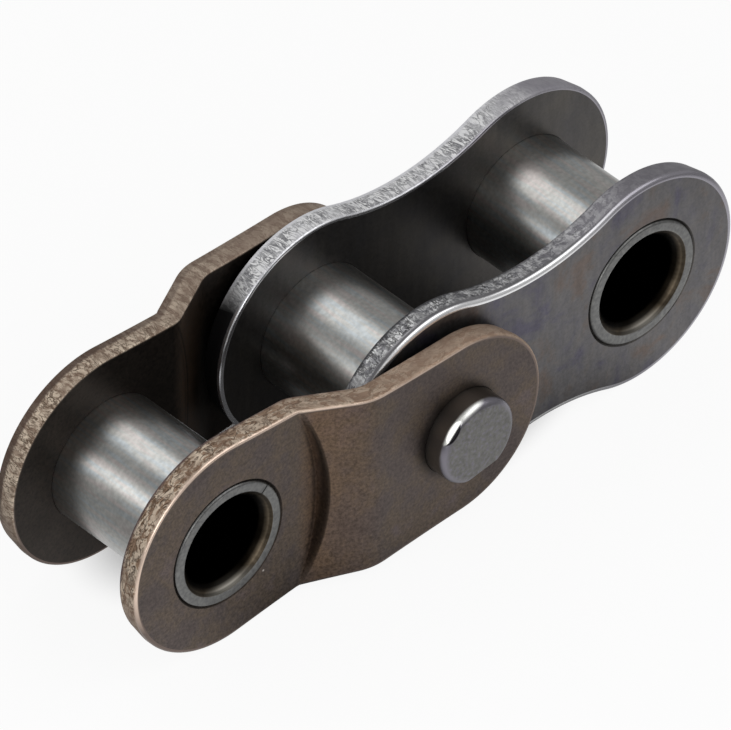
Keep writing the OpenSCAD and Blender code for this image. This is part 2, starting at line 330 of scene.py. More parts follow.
def makeTornRim(name, look, width):
    # blanked edge of a plate: smooth beside the front face where the punch went in, torn behind it into pale
    # winding flakes with dark pits between; the smooth band is partly a painted highlight, and one part has painted
    # shade
    material, tree, shader, spot, rim = addMaterial(name, 0.95)
    places = addNode(tree, "SeparateXYZ", {"Vector": spot})
    across = addNode(tree, "SeparateXYZ", {"Vector": rim})
    patch = addNode(tree, "TexNoise", {"Vector": rim, "Scale": 1.3, "Detail": 6.0, "Roughness": 0.7})
    torn = addNode(tree, "ValToRGB", {"Fac": patch.outputs["Fac"]}, stops=look["torn"])
    shares = {}
    for share, axis in (("calm", "X"), ("plain", "X"), ("shade", look["shadeAxis"])):
        start, end = look[share + "Along"]
        shares[share] = addNode(tree, "MapRange", {"Value": places.outputs[axis], "From Min": start, "From Max": end,
                                                   "To Max": look.get(share + "Most", 1.0)}).outputs["Result"]
    colour = torn.outputs["Color"]
    for share in ("calm", "shade"):
        colour = addNode(tree, "Mix", {0: shares[share], 6: colour, 7: linear(look[share])},
                         data_type="RGBA").outputs[2]
    # flakes and pits come in clusters and thin out towards the calm end and in the painted shade
    cluster = addNode(tree, "MapRange", {"Value": patch.outputs["Fac"], "From Min": 0.36, "From Max": 0.56,
                                         "To Min": 0.25, "To Max": 1.0})
    smooth = addNode(tree, "Math", {0: shares["calm"], 1: shares["shade"]}, operation="MAXIMUM")
    rest = addNode(tree, "Math", {0: 1.0, 1: smooth.outputs[0]}, operation="SUBTRACT")
    keep = addNode(tree, "Math", {0: cluster.outputs["Result"], 1: rest.outputs[0]}, operation="MULTIPLY")
    # flakes are pale patches, pits are thin crooked lines
    lines = []
    for kind, shift in (("flake", 0.0), ("pit", 31.7)):
        along, through = look[kind + "Size"]
        laid = addNode(tree, "Mapping", {"Vector": rim, "Location": (shift, shift, 0),
                                         "Scale": (1 / along, 1 / through, 1)})
        winding = addNode(tree, "TexNoise", {"Vector": laid.outputs["Vector"], "Scale": 1.0, "Detail": 3.0,
                                             "Roughness": 0.65, "Distortion": look["twist"]})
        off = addNode(tree, "Math", {0: 0.5, 1: winding.outputs["Fac"]}, operation="SUBTRACT")
        if kind == "pit":
            off = addNode(tree, "Math", {0: off.outputs[0]}, operation="ABSOLUTE")
        line = addNode(tree, "MapRange", {"Value": off.outputs[0], "From Min": 0.3 * look[kind + "Line"],
                                          "From Max": 1.6 * look[kind + "Line"], "To Min": 0.9, "To Max": 0.0})
        lines.append(addNode(tree, "Math", {0: line.outputs["Result"], 1: keep.outputs[0]}, operation="MULTIPLY"))
    for line, tint in zip(lines, (look["pale"], look["pit"])):
        colour = addNode(tree, "Mix", {0: line.outputs[0], 6: colour, 7: linear(tint)}, data_type="RGBA").outputs[2]
    # smooth bands along both edges, ragged where the rim is torn; the front band is partly a painted highlight
    rag = addNode(tree, "Math", {0: winding.outputs["Fac"], 1: rest.outputs[0]}, operation="MULTIPLY")
    ragged = addNode(tree, "Math", {0: rag.outputs[0], 1: 0.16, 2: across.outputs["Y"]}, operation="MULTIPLY_ADD")
    narrowed = addNode(tree, "Math", {0: shares["calm"], 1: 0.22, 2: ragged.outputs[0]}, operation="MULTIPLY_ADD")
    front = addNode(tree, "MapRange", {"Value": narrowed.outputs[0], "From Min": look["frontWide"],
                                       "From Max": look["frontWide"] + 0.08, "To Min": 1.0, "To Max": 0.0})
    back = addNode(tree, "MapRange", {"Value": ragged.outputs[0], "From Min": width - look["backWide"],
                                      "From Max": width - look["backWide"] + 0.10, "To Min": 0.0, "To Max": 0.9})
    # where the painted highlight ends, the front band and brink fade to plain: along X, and on brown rims also in the
    # painted shade low down
    fade = shares["plain"]
    if look["shadeAxis"] == "Z":
        fade = addNode(tree, "Math", {0: fade, 1: shares["shade"]}, operation="MAXIMUM").outputs[0]
    frontTint = addNode(tree, "Mix", {0: fade, 6: linear(look["front"]), 7: linear(look["plain"])}, data_type="RGBA")
    bands = [(front.outputs["Result"], frontTint.outputs[2])]
    keptBack = addNode(tree, "Math", {0: back.outputs["Result"], 1: rest.outputs[0]}, operation="MULTIPLY")
    bands.append((keptBack.outputs[0], linear(look["back"])))
    if look["brink"]:
        brink = addNode(tree, "MapRange", {"Value": across.outputs["Y"], "From Min": look["brinkWide"],
                                           "From Max": look["brinkWide"] + 0.04, "To Min": 0.9, "To Max": 0.0})
        brinkTint = addNode(tree, "Mix", {0: fade, 6: linear(look["brink"]), 7: linear(look["plain"])},
                            data_type="RGBA")
        bands.append((brink.outputs["Result"], brinkTint.outputs[2]))
    for band, tint in bands:
        colour = addNode(tree, "Mix", {0: band, 6: colour, 7: tint}, data_type="RGBA").outputs[2]
    relief = addNode(tree, "Math", {0: lines[0].outputs[0], 1: lines[1].outputs[0]}, operation="SUBTRACT")
    inMiddle = addNode(tree, "Math", {0: 1.0, 1: front.outputs["Result"]}, operation="SUBTRACT")
    height = addNode(tree, "Math", {0: relief.outputs[0], 1: inMiddle.outputs[0]}, operation="MULTIPLY")
    bump = addNode(tree, "Bump", {"Height": height.outputs[0], "Strength": 0.5, "Distance": 0.02 * mm})
    low, high = look["roughness"]
    rough = addNode(tree, "MapRange", {"Value": front.outputs["Result"], "To Min": high, "To Max": low})
    wire(tree, shader, Base_Color=colour, Roughness=rough.outputs["Result"], Normal=bump.outputs["Normal"])
    return material


# materials of the bushes and the pin

pin = {
    "roundIn": 0.30,           # mm, rounding of both ends, towards the axis
    "roundDown": 0.30,         # mm, and along the pin
    "flatDistance": 1.42,      # mm from the axis to the flat under the near end
    "flatTurn": 7,             # degrees
    "stakeTurn": 135,          # degrees, slanted mark that a chisel pressed into the rounding
    "stakeSlant": 37,          # degrees between the mark and the pin's axis
    "stakeReach": 1.15,        # mm from the middle of the end to the mark's plane
    "steps": 200,
}
groundSteel = {
    "barrel": [(0.34, "#BAC0C3"), (0.50, "#C1C1BD"), (0.66, "#C7C0BD")],
    "end": [(0.35, "#707070"), (0.65, "#7F7F7D")],
    "bore": [(0.35, "#786B5A"), (0.65, "#867967")],
    "pin": [(0.32, "#696866"), (0.50, "#71706D"), (0.68, "#78757D")],
    "draw": 0.14,              # mm, width of a drawing line along the barrel
    "grain": 0.15,             # mm, drawn coarser than the real grain so that it shows
    "handled": 1.5,            # mm, patches a little smoother or duller
    "seam": "#1B1A19",
    # painted shade into the bore, with a lighter painted band in the mouth
    "boreFade": [(0.0, 0.70), (0.015, 0.24), (0.05, 0.24), (0.075, 0.48), (0.10, 0.26), (0.15, 0.03), (0.30, 0.0)],
    "boreReach": 1.6,          # mm from a bush's end, over which painted shade darkens its bore
    "boreLow": "#B9B4AA",      # painted highlight at the bottom of the mouth
    "edge": "#827F87",         # rounding of the pin's ends, worn bare
    "edgeFrom": 1.38,          # mm from the pin's axis
    "glint": "#F2F2EE",        # painted highlight, brightest part of that rounding
    "glintTurn": 106,          # degrees
    "wall": "#86817C",         # oily side of the pin
    "dent": "#1E1D20",         # painted shade, inner half of the stake mark
    "burr": "#FBFBF6",         # painted highlight, its outer half
    "burrFrom": 1.50,          # mm from the pin's axis, towards the stake mark
    "dentAt": (2.30, 0.12),    # mm outwards and sideways, middle of the arc that bounds the painted shade
    "dentRadius": 0.93,
    "markHalf": 0.64,          # mm, half the mark's length
}


def shadeBorePainted(tree, spot, colour):
    # painted shade, dark and then black a short way in, with a painted highlight at the bottom of the mouth
    places = addNode(tree, "SeparateXYZ", {"Vector": spot})
    low = addNode(tree, "MapRange", {"Value": places.outputs["Z"], "From Min": -1.65, "From Max": -1.95})
    litLow = addNode(tree, "Mix", {0: low.outputs["Result"], 6: colour, 7: linear(groundSteel["boreLow"])},
                    data_type="RGBA")
    fromMiddle = addNode(tree, "Math", {0: places.outputs["Y"]}, operation="ABSOLUTE")
    depth = addNode(tree, "MapRange", {"Value": fromMiddle.outputs[0], "From Min": bushHigh.y,
                                       "From Max": bushHigh.y - groundSteel["boreReach"]})
    tone = addNode(tree, "ValToRGB", {"Fac": depth.outputs["Result"]}, stops=groundSteel["boreFade"])
    return addNode(tree, "Mix", {0: 1.0, 6: litLow.outputs[2], 7: tone.outputs["Color"]}, data_type="RGBA",
                   blend_type="MULTIPLY").outputs[2]


def finishPin(tree, spot, colour):
    # worn rounding with a painted highlight, oily side, and the stake mark: a crescent of painted shade inside a lip
    # with a painted highlight
    steel = groundSteel
    turn = math.radians(pin["stakeTurn"])
    glintTurn = math.radians(steel["glintTurn"])
    fromEnd = addNode(tree, "VectorMath", {0: spot, 1: (pitch, pinHigh.y, 0)}, operation="ADD")
    places = addNode(tree, "SeparateXYZ", {"Vector": fromEnd.outputs["Vector"]})
    flat = addNode(tree, "CombineXYZ", {"X": places.outputs["X"], "Z": places.outputs["Z"]})
    outwards = Vector((math.cos(turn), 0, math.sin(turn)))
    sideways = Vector((-math.sin(turn), 0, math.cos(turn)))
    dentAt = outwards * steel["dentAt"][0] + sideways * steel["dentAt"][1]
    measures = []
    for kind, to in (("DISTANCE", (0, 0, 0)), ("DOT_PRODUCT", (math.cos(glintTurn), 0, math.sin(glintTurn))),
                     ("DISTANCE", dentAt), ("DOT_PRODUCT", outwards), ("DOT_PRODUCT", sideways)):
        measured = addNode(tree, "VectorMath", {0: flat.outputs["Vector"], 1: to}, operation=kind)
        measures.append(measured.outputs["Value"])
    fromAxis, toGlint, fromDent, toStake, beside = measures
    apart = addNode(tree, "Math", {0: beside}, operation="ABSOLUTE")
    fromMiddle = addNode(tree, "Math", {0: places.outputs["Y"], 1: pinHigh.y}, operation="SUBTRACT")
    fromEnds = addNode(tree, "Math", {0: fromMiddle.outputs[0]}, operation="ABSOLUTE")
    shares = []
    for value, start, end in ((fromAxis, steel["edgeFrom"], steel["edgeFrom"] + 0.15), (toGlint, 1.42, 1.56),
                              (fromDent, steel["dentRadius"], steel["dentRadius"] - 0.04),
                              (toStake, steel["burrFrom"], steel["burrFrom"] + 0.03),
                              (apart.outputs[0], steel["markHalf"], steel["markHalf"] - 0.1),
                              (fromEnds.outputs[0], pinHigh.y - 0.20, pinHigh.y - 0.28), (places.outputs["Y"], 3.0, 2.0)):
        shares.append(addNode(tree, "MapRange", {"Value": value, "From Min": start, "From Max": end}).outputs["Result"])
    edge, glint, dent, outer, within, wall, near = shares
    products = []
    for first, second in ((edge, glint), (dent, near), (outer, within)):
        products.append(addNode(tree, "Math", {0: first, 1: second}, operation="MULTIPLY").outputs[0])
    glinting, stakeShade, lipped = products
    litLip = addNode(tree, "Math", {0: lipped, 1: near}, operation="MULTIPLY").outputs[0]
    for share, tint in ((edge, "edge"), (glinting, "glint"), (stakeShade, "dent"), (litLip, "burr"), (wall, "wall")):
        colour = addNode(tree, "Mix", {0: share, 6: colour, 7: linear(steel[tint])}, data_type="RGBA").outputs[2]
    return colour


def drawSeam(tree, spot, colour, turn):
    # the bush is a curled strip, so its ends meet in a dark hairline
    way = math.radians(turn)
    fromBush = addNode(tree, "VectorMath", {0: spot, 1: (2 * pitch, 0, 0)}, operation="ADD")
    ways = [(math.cos(way), 0, math.sin(way)), (-math.sin(way), 0, math.cos(way))]
    along, across = [addNode(tree, "VectorMath", {0: fromBush.outputs["Vector"], 1: to}, operation="DOT_PRODUCT")
                     for to in ways]
    apart = addNode(tree, "Math", {0: across.outputs["Value"]}, operation="ABSOLUTE")
    line = addNode(tree, "MapRange", {"Value": apart.outputs[0], "From Min": bush["seamWide"] / 2,
                                      "From Max": bush["seamWide"] / 2 + 0.02, "To Min": 0.9, "To Max": 0.0})
    ahead = addNode(tree, "Math", {0: along.outputs["Value"], 1: 0.0}, operation="GREATER_THAN")
    share = addNode(tree, "Math", {0: line.outputs["Result"], 1: ahead.outputs[0]}, operation="MULTIPLY")
    return addNode(tree, "Mix", {0: share.outputs[0], 6: colour, 7: linear(groundSteel["seam"])},
                   data_type="RGBA").outputs[2]


def makeSteel(name, hues, roughness, drawn, blend=None, seam=None):
    # ground or cut bar steel: clean satin metal with fine lines along the draw and a slight grain
    material, tree, shader, spot, rim = addMaterial(name, 1.0)
    across = 1 / groundSteel["draw"]
    lines = addNode(tree, "Mapping", {"Vector": spot, "Scale": (across, 0.5 if drawn else across, across)})
    line = addNode(tree, "TexNoise", {"Vector": lines.outputs["Vector"], "Scale": 1.0, "Detail": 1.0,
                                      "Roughness": 0.6})
    hue = addNode(tree, "ValToRGB", {"Fac": line.outputs["Fac"]}, stops=hues)
    grain = addNode(tree, "TexNoise", {"Vector": spot, "Scale": 1 / groundSteel["grain"], "Detail": 1.0})
    fleck = addNode(tree, "ValToRGB", {"Fac": grain.outputs["Fac"]}, stops=[(0.3, 0.80), (0.7, 1.0)])
    colour = addNode(tree, "Mix", {0: 1.0, 6: hue.outputs["Color"], 7: fleck.outputs["Color"]},
                     data_type="RGBA", blend_type="MULTIPLY").outputs[2]
    if blend:
        colour = blend(tree, spot, colour)
    if seam is not None:
        colour = drawSeam(tree, spot, colour, seam)
    handled = addNode(tree, "TexNoise", {"Vector": spot, "Scale": 1 / groundSteel["handled"], "Detail": 0.0})
    rough = addNode(tree, "MapRange", {"Value": handled.outputs["Fac"], "From Min": 0.3, "From Max": 0.7,
                                       "To Min": roughness - 0.02, "To Max": roughness + 0.02})
    wire(tree, shader, Base_Color=colour, Roughness=rough.outputs["Result"])
    return material


# plates

innerPlate = {
    "lobe": innerHigh.z,       # mm, radius of both ends
    "neck": 8.6,               # mm, radius of the hollow in each long edge
    "inFace": innerLow.y,      # mm from the middle plane
    "outFace": innerHigh.y,
    "nearRoll": 0.18,          # mm, edge that the punch rolled over, on the side towards -Y
    "farRoll": 0.10,
}
offsetPlate = {
    "narrowLobe": 4.2,         # mm, around the bush
    "wideLobe": 3.65,          # mm, around the pin
    "neck": 110.0,
    "narrowIn": offsetLow.y,
    "thick": 0.9,
    "wideOut": offsetHigh.y,
    "angle": math.radians(28),
    "footRadius": 0.3,         # mm, on the outer face
    "headRadius": 1.2,         # mm, on the inner face
    "footX": -6.392,           # mm from the pin
    "headX": -3.499,
    "reliefX": -5.405,         # mm from the pin, deepest reach of the relief
    "reliefRadius": 9.0,
    "nearRoll": 0.11,
    "farRoll": 0.07,
}
shearing = {
    "burnished": 0.30,         # mm, depth of the burnished band
    "drawIn": 0.10,            # mm, by which the torn band draws in towards the back
    "backEdge": 0.05,          # mm, broken edge at the back
}
outlineStep = 0.13             # mm between points around a plate


def arcAround(centreX, centreZ, radius, start, end, outward):
    # points of an arc with their outward normals, without the last one
    count = max(6, math.ceil(abs(end - start) * radius / outlineStep))
    turns = [start + (end - start) * i / count for i in range(count)]
    return [(centreX + radius * math.cos(t), centreZ + radius * math.sin(t),
             outward * math.cos(t), outward * math.sin(t)) for t in turns]


def linkOutline(lobeHere, lobeThere, neck):
    # outline with lobes at the origin and one pitch along -X, and a test for what lies inside it
    here = lobeHere + neck
    there = lobeThere + neck
    neckX = -(here ** 2 - there ** 2 + pitch ** 2) / (2 * pitch)
    neckZ = math.sqrt(here ** 2 - neckX ** 2)
    leave = math.atan2(neckZ, neckX)
    arrive = math.atan2(neckZ, neckX + pitch)
    upper = arcAround(0, 0, lobeHere, 0, leave, 1)
    upper += arcAround(neckX, neckZ, neck, leave - math.pi, arrive - math.pi, -1)
    upper += arcAround(-pitch, 0, lobeThere, arrive, math.pi, 1)
    tip = [(-pitch - lobeThere, 0, -1, 0)]
    lower = [(x, -z, nx, -nz) for x, z, nx, nz in reversed(upper[1:])]
    hereX = lobeHere * math.cos(leave)
    thereX = -pitch + lobeThere * math.cos(arrive)

    def inside(x, z, margin):
        if x > hereX:
            return math.hypot(x, z) < lobeHere - margin
        if x < thereX:
            return math.hypot(x + pitch, z) < lobeThere - margin
        return math.hypot(x - neckX, abs(z) - neckZ) > neck + margin

    return upper + tip + lower, inside


def rimRings(roll, thick):
    # (inset, depth) across the rim from its front: rolled edge, burnished band, torn band, broken back edge
    cut = shearing
    turns = [math.radians(t) for t in (0, 18, 36, 54, 72, 90)]
    rings = [(roll + 0.04, 0)]
    rings += [(roll * (1 - math.sin(t)), roll * (1 - math.cos(t))) for t in turns]
    rings += [(0, cut["burnished"])]
    torn = thick - cut["backEdge"] - cut["burnished"]
    rings += [(cut["drawIn"] * i / 4, cut["burnished"] + torn * i / 4) for i in (1, 2, 3, 4)]
    rings += [(cut["drawIn"] + cut["backEdge"] * (1 - math.cos(t)), thick - cut["backEdge"] * (1 - math.sin(t)))
              for t in turns[1:]]
    return rings + [(rings[-1][0] + 0.04, thick)]


def rimWidth(rings):
    return sum(math.hypot(b[0] - a[0], b[1] - a[1]) for a, b in zip(rings, rings[1:]))


def makePlate(outline, inside, holes, rings, places, arcs, columns):
    # closed plate: rings around the rim, a filled front and back, and the walls of the holes
    # places gives the front's and the back's distance from the middle plane at (x, z)
    points = []
    faces = []
    slots = []
    unrolled = []
    thick = rings[-1][1]
    count = len(outline)

    def addPoint(x, z, depth, along=0.0, across=0.0):
        front, back = places(x, z)
        points.append((x, front + (back - front) * depth / thick, z))
        unrolled.append((along, across))
        return len(points) - 1

    along = [0.0]
    for a, b in zip(outline, outline[1:] + outline[:1]):
        along.append(along[-1] + math.hypot(b[0] - a[0], b[1] - a[1]))
    across = 0.0
    for k, (inset, depth) in enumerate(rings):
        if k:
            across += math.hypot(inset - rings[k - 1][0], depth - rings[k - 1][1])
        for i, (x, z, nx, nz) in enumerate(outline):
            addPoint(x - nx * inset, z - nz * inset, depth, along[i], across)
    for k in range(len(rings) - 1):
        for i in range(count):
            j = (i + 1) % count
            faces.append([k * count + i, k * count + j, (k + 1) * count + j, (k + 1) * count + i])
            slots.append(1)

    # each face is a flat drawing: the rim's end ring, holes, arcs of the relief, then loose points inside
    steps = 112
    turns = [math.tau * i / steps for i in range(steps)]
    mouths = {}
    for side, ring in ((0, 0), (1, len(rings) - 1)):
        margin, depth = rings[ring]
        flat = [(x - nx * margin, z - nz * margin) for x, z, nx, nz in outline]
        edges = [(i, (i + 1) % count) for i in range(count)]
        number = {i: ring * count + i for i in range(count)}
        for h, (centre, radius, brokenEdges) in enumerate(holes):
            start = len(flat)
            wide = radius + brokenEdges[side]
            flat += [(centre + wide * math.cos(t), wide * math.sin(t)) for t in turns]
            edges += [(start + i, start + (i + 1) % steps) for i in range(steps)]
            for i in range(steps):
                number[start + i] = addPoint(flat[start + i][0], flat[start + i][1], depth)
            mouths[side, h] = [number[start + i] for i in range(steps)]
        for centre, radius, arc in arcs:
            kept = [p for p in arc if inside(p[0], p[1], margin + 0.1)]
            edges += [(len(flat) + i, len(flat) + i + 1) for i in range(len(kept) - 1)]
            flat += kept
        reach = max(p[1] for p in flat)
        rows = [-reach + 0.4 * i for i in range(int(2 * reach / 0.4) + 2)]
        for x in columns:
            for z in rows:
                clear = all(math.hypot(x - c, z) > r + 0.2 for c, r, e in holes)
                apart = all(abs(math.hypot(x - c, z) - r) > 0.12 for c, r, arc in arcs)
                if clear and apart and inside(x, z, margin + 0.15):
                    flat.append((x, z))
        spots, drawn, triangles, sources, a, b = delaunay_2d_cdt([Vector(p) for p in flat], edges, [], 0, 1e-6)
        named = []
        for v, spot in enumerate(spots):
            source = min(sources[v]) if sources[v] else -1
            named.append(number[source] if source in number else addPoint(spot.x, spot.y, depth))
        for triangle in triangles:
            x = sum(spots[v].x for v in triangle) / 3
            z = sum(spots[v].y for v in triangle) / 3
            if inside(x, z, margin) and all(math.hypot(x - c, z) > r + e[side] for c, r, e in holes):
                faces.append([named[v] for v in triangle])
                slots.append(2 * side)

    # hole walls, with a broken edge at each face
    for h, (centre, radius, brokenEdges) in enumerate(holes):
        loops = [mouths[0, h]]
        for depth in (brokenEdges[0], thick - brokenEdges[1]):
            loops.append([addPoint(centre + radius * math.cos(t), radius * math.sin(t), depth) for t in turns])
        loops.append(mouths[1, h])
        for first, second in zip(loops, loops[1:]):
            for i in range(steps):
                j = (i + 1) % steps
                faces.append([first[i], first[j], second[j], second[i]])
                slots.append(3)
    return points, faces, slots, unrolled, along[-1]


def crankFace(x, low, high, footRadius, headRadius):
    # one face of the crank seen from above: flat, foot bend, slope, head bend, flat
    slope = offsetPlate["angle"]
    footX = offsetPlate["footX"]
    headX = offsetPlate["headX"]
    slopeStart = footX + footRadius * math.sin(slope)
    slopeEnd = headX - headRadius * math.sin(slope)
    if x <= footX:
        return low
    if x < slopeStart:
        return low + footRadius - math.sqrt(footRadius ** 2 - (x - footX) ** 2)
    if x < slopeEnd:
        return low + footRadius * (1 - math.cos(slope)) + (x - slopeStart) * math.tan(slope)
    if x < headX:
        return high - headRadius + math.sqrt(headRadius ** 2 - (headX - x) ** 2)
    return high


def offsetPlaces(x, z):
    # outer and inner face; the relief's floor is level with the narrow end, and its brink is rolled
    p = offsetPlate
    thick = p["thick"]
    narrowOut = p["narrowIn"] + thick
    outY = crankFace(x, narrowOut, p["wideOut"], p["footRadius"], p["headRadius"] + thick)
    inY = crankFace(x, p["narrowIn"], p["wideOut"] - thick, p["footRadius"] + thick, p["headRadius"])
    past = math.hypot(x - p["reliefX"] + p["reliefRadius"], z) - p["reliefRadius"]
    rise = min(1.0, max(0.0, (past + 0.04) / 0.10))
    return narrowOut + (outY - narrowOut) * (1 - (1 - rise) ** 2.5), inY


def innerPlaces(x, z):
    return innerPlate["outFace"], innerPlate["inFace"]


innerOutline, insideInner = linkOutline(innerPlate["lobe"], innerPlate["lobe"], innerPlate["neck"])
offsetOutline, insideOffset = linkOutline(offsetPlate["wideLobe"], offsetPlate["narrowLobe"], offsetPlate["neck"])
innerColumns = [-pitch - 4.2 + 0.45 * i for i in range(42)]
crankStart = offsetPlate["footX"] - 0.15
crankSpan = offsetPlate["headX"] + 0.15 - crankStart
offsetColumns = [crankStart - 0.45 * i for i in range(1, 18)]
offsetColumns += [crankStart + crankSpan * i / 48 for i in range(49)]
offsetColumns += [crankStart + crankSpan + 0.45 * i for i in range(1, 18)]
reliefCentre = offsetPlate["reliefX"] - offsetPlate["reliefRadius"]
reliefArcs = []
for shift in (-0.12, -0.04, -0.02, 0.0, 0.02, 0.04, 0.06, 0.13):
    radius = offsetPlate["reliefRadius"] + shift
    turns = [math.radians(-28 + 56 * i / 120) for i in range(121)]
    reliefArcs.append((reliefCentre, radius,
                       [(reliefCentre + radius * math.cos(t), radius * math.sin(t)) for t in turns]))

rings = {
    "near_inner_plate": rimRings(innerPlate["nearRoll"], innerPlate["outFace"] - innerPlate["inFace"]),
    "far_inner_plate": rimRings(innerPlate["farRoll"], innerPlate["outFace"] - innerPlate["inFace"]),
    "near_offset_plate": rimRings(offsetPlate["nearRoll"], offsetPlate["thick"]),
    "far_offset_plate": rimRings(offsetPlate["farRoll"], offsetPlate["thick"]),
}
brownFaces = [makeBrownFace("brownedTumbledSteel", brownFace["outside"]),
              makeBrownFace("brownedSteelInside", brownFace["inside"])]
greyFaces = [makeGreyFace("temperedTumbledSteel", greyFace["outside"]),
             makeGreyFace("temperedSteelInside", greyFace["inside"])]
rims = {node: makeTornRim(name, look, rimWidth(rings[node])) for node, name, look in (
    ("near_offset_plate", "brownedShearedSteel", brownRim),
    ("far_offset_plate", "brownedStreakedShear", farBrownRim),
    ("near_inner_plate", "dullShearedSteel", dullRim),
    ("far_inner_plate", "brightShearedSteel", brightRim))}
outsideEdge = 0.08             # mm, broken edge of a bush's hole outside
insideEdge = 0.015
bushHole = bushRadius + 0.005
pinHole = pinRadius + 0.005
for side in ("near", "far"):
    near = side == "near"
    edges = (outsideEdge, insideEdge) if near else (insideEdge, outsideEdge)
    pinEdges = (insideEdge, insideEdge)
    for kind, outline, inside, holes, places, arcs, columns, skins, place, body in (
            ("inner_plate", innerOutline, insideInner, [(0, bushHole, edges), (-pitch, bushHole, edges)],
             innerPlaces, [], innerColumns, greyFaces, onEndBush, "inner_link"),
            ("offset_plate", offsetOutline, insideOffset, [(0, pinHole, pinEdges), (-pitch, bushHole, edges)],
             offsetPlaces, reliefArcs, offsetColumns, brownFaces, onOffsetLink, "offset_link")):
        # the front of a rim is its side towards -Y: outside on a near plate, inside on a far one
        frontBack = (lambda x, z: [-y for y in places(x, z)]) if near else (lambda x, z: places(x, z)[::-1])
        node = side + "_" + kind
        points, faces, slots, unrolled, around = makePlate(outline, inside, holes, rings[node], frontBack, arcs, columns)
        outer, inner = skins
        # the faces between the plates and the holes' walls take the darker copy, a painted shade
        ordered = [outer, rims[node], inner, inner] if near else [inner, rims[node], outer, inner]
        piece = addPiece(node + "_look", points, faces, ordered, slots, place, unrolled, around)
        carry(piece, node, body)
print("plates made")


# bushes

bush = {
    "outerRound": 0.10,        # mm, rounding outside its ends
    "mouthWide": 0.33,         # mm, cone into the bore, across
    "mouthDeep": 0.38,         # mm, and along
    "mouthEdge": 0.03,         # mm, rounding of the cone's edge
    "offsetSeam": 41,          # degrees from +X towards +Z, butt seam of the curled strip
    "seamWide": 0.04,          # mm
    "seamDeep": 0.05,          # mm
    "steps": 128,
}


def makeBush(name, node, body, place, materials, seam=None):
    half = bushHigh.y
    outer = bush["outerRound"]
    edge = bush["mouthEdge"]
    wide = boreRadius + bush["mouthWide"]
    deep = bush["mouthDeep"]
    quarter = [math.radians(15 * i) for i in range(7)]
    farEnd = [(bushRadius, half - outer - 0.03)]
    farEnd += [(bushRadius - outer * (1 - math.cos(t)), half - outer * (1 - math.sin(t))) for t in quarter]
    farEnd += [(wide + edge * 2, half), (wide + edge, half), (wide + edge * 0.3, half - edge * 0.3)]
    farEnd += [(wide - edge * 0.6, half - edge * 1.1), (boreRadius + edge, half - deep + edge * 1.5)]
    farEnd += [(boreRadius, half - deep - edge), (boreRadius, half - deep - 2 * edge)]
    nearEnd = [(r, -y) for r, y in reversed(farEnd)]
    profile = farEnd + nearEnd + [(bushRadius, -2.5 + i) for i in range(6)]
    count = len(profile)
    # barrel, end ring or bore, along the profile
    kinds = [0] + [1] * 9 + [2] * 9 + [1] * 9 + [0] * 8
    sections = [(math.tau * i / bush["steps"], profile) for i in range(bush["steps"])]
    if seam is not None:
        # the seam is a fine groove: one shrunken section between two whole ones
        lip = bush["seamWide"] / 2 / bushRadius
        start = math.radians(seam)
        wall = (bushRadius - boreRadius) / 2
        inward = 1 - bush["seamDeep"] / wall
        shorter = 1 - bush["seamDeep"] / half
        shrunken = [(boreRadius + wall + (r - boreRadius - wall) * inward, y * shorter) for r, y in profile]
        between = (math.tau - 2 * lip) / bush["steps"]
        sections = [(start + lip + between * i, profile) for i in range(bush["steps"] + 1)]
        sections.append((start, shrunken))
    points = [(r * math.cos(t), y, r * math.sin(t)) for t, section in sections for r, y in section]
    faces = []
    slots = []
    for i in range(len(sections)):
        ahead = (i + 1) % len(sections)
        for j in range(count):
            k = (j + 1) % count
            faces.append([i * count + j, i * count + k, ahead * count + k, ahead * count + j])
            slots.append(kinds[j])
    piece = addPiece(name, points, faces, materials, slots, place)
    carry(piece, node, body)


boreSteel = makeSteel("oiledBore", groundSteel["bore"], 0.33, True, shadeBorePainted)
innerBushLooks = [makeSteel("groundBushSteel", groundSteel["barrel"], 0.30, True),
                  makeSteel("cutBushEnd", groundSteel["end"], 0.36, False), boreSteel]
offsetBushLooks = [makeSteel("groundOffsetBushSteel", groundSteel["barrel"], 0.30, True, seam=bush["offsetSeam"]),
                   makeSteel("cutOffsetBushEnd", groundSteel["end"], 0.36, False, seam=bush["offsetSeam"]), boreSteel]
makeBush("middle_bush_look", "middle_bush", "inner_link", onPin, innerBushLooks)
makeBush("end_bush_look", "end_bush", "inner_link", onEndBush, innerBushLooks)
makeBush("offset_bush_look", "offset_bush", "offset_link", onOffsetLink @ onPin, offsetBushLooks, bush["offsetSeam"])
print("bushes made")


# riveted pin

